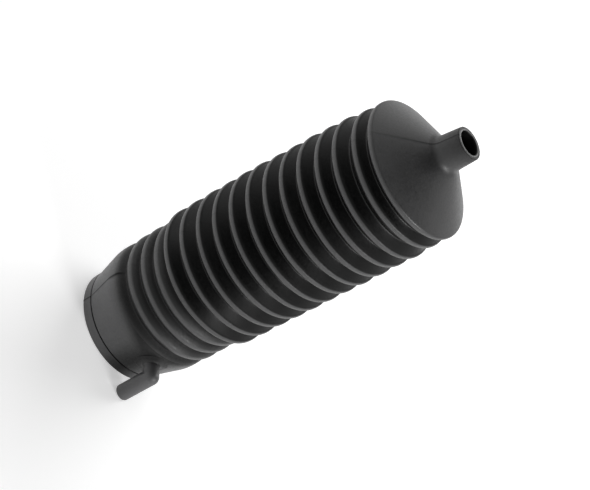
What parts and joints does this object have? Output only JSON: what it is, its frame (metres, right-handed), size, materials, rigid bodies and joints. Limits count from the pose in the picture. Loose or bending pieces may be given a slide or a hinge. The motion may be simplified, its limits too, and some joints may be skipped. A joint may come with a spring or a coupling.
{
  "type": "rubber bellows boot",
  "caption": "Hollow rubber bellows boot: a wide cuff with a bent breather spout, a long run of round folds, and a shallow cone that ends in a small neck.",
  "frame": {"origin": "centre of the large cuff's rim, which rests on the floor", "axes": "+Z along the boot's axis from the cuff to the small neck, +X towards the breather spout"},
  "size_m": [0.0691, 0.0622, 0.1875],
  "materials": {
    "rubber": "satin moulded black rubber"
  },
  "bodies": {
    "root": {"boot": "rubber"}
  },
  "joints": []
}
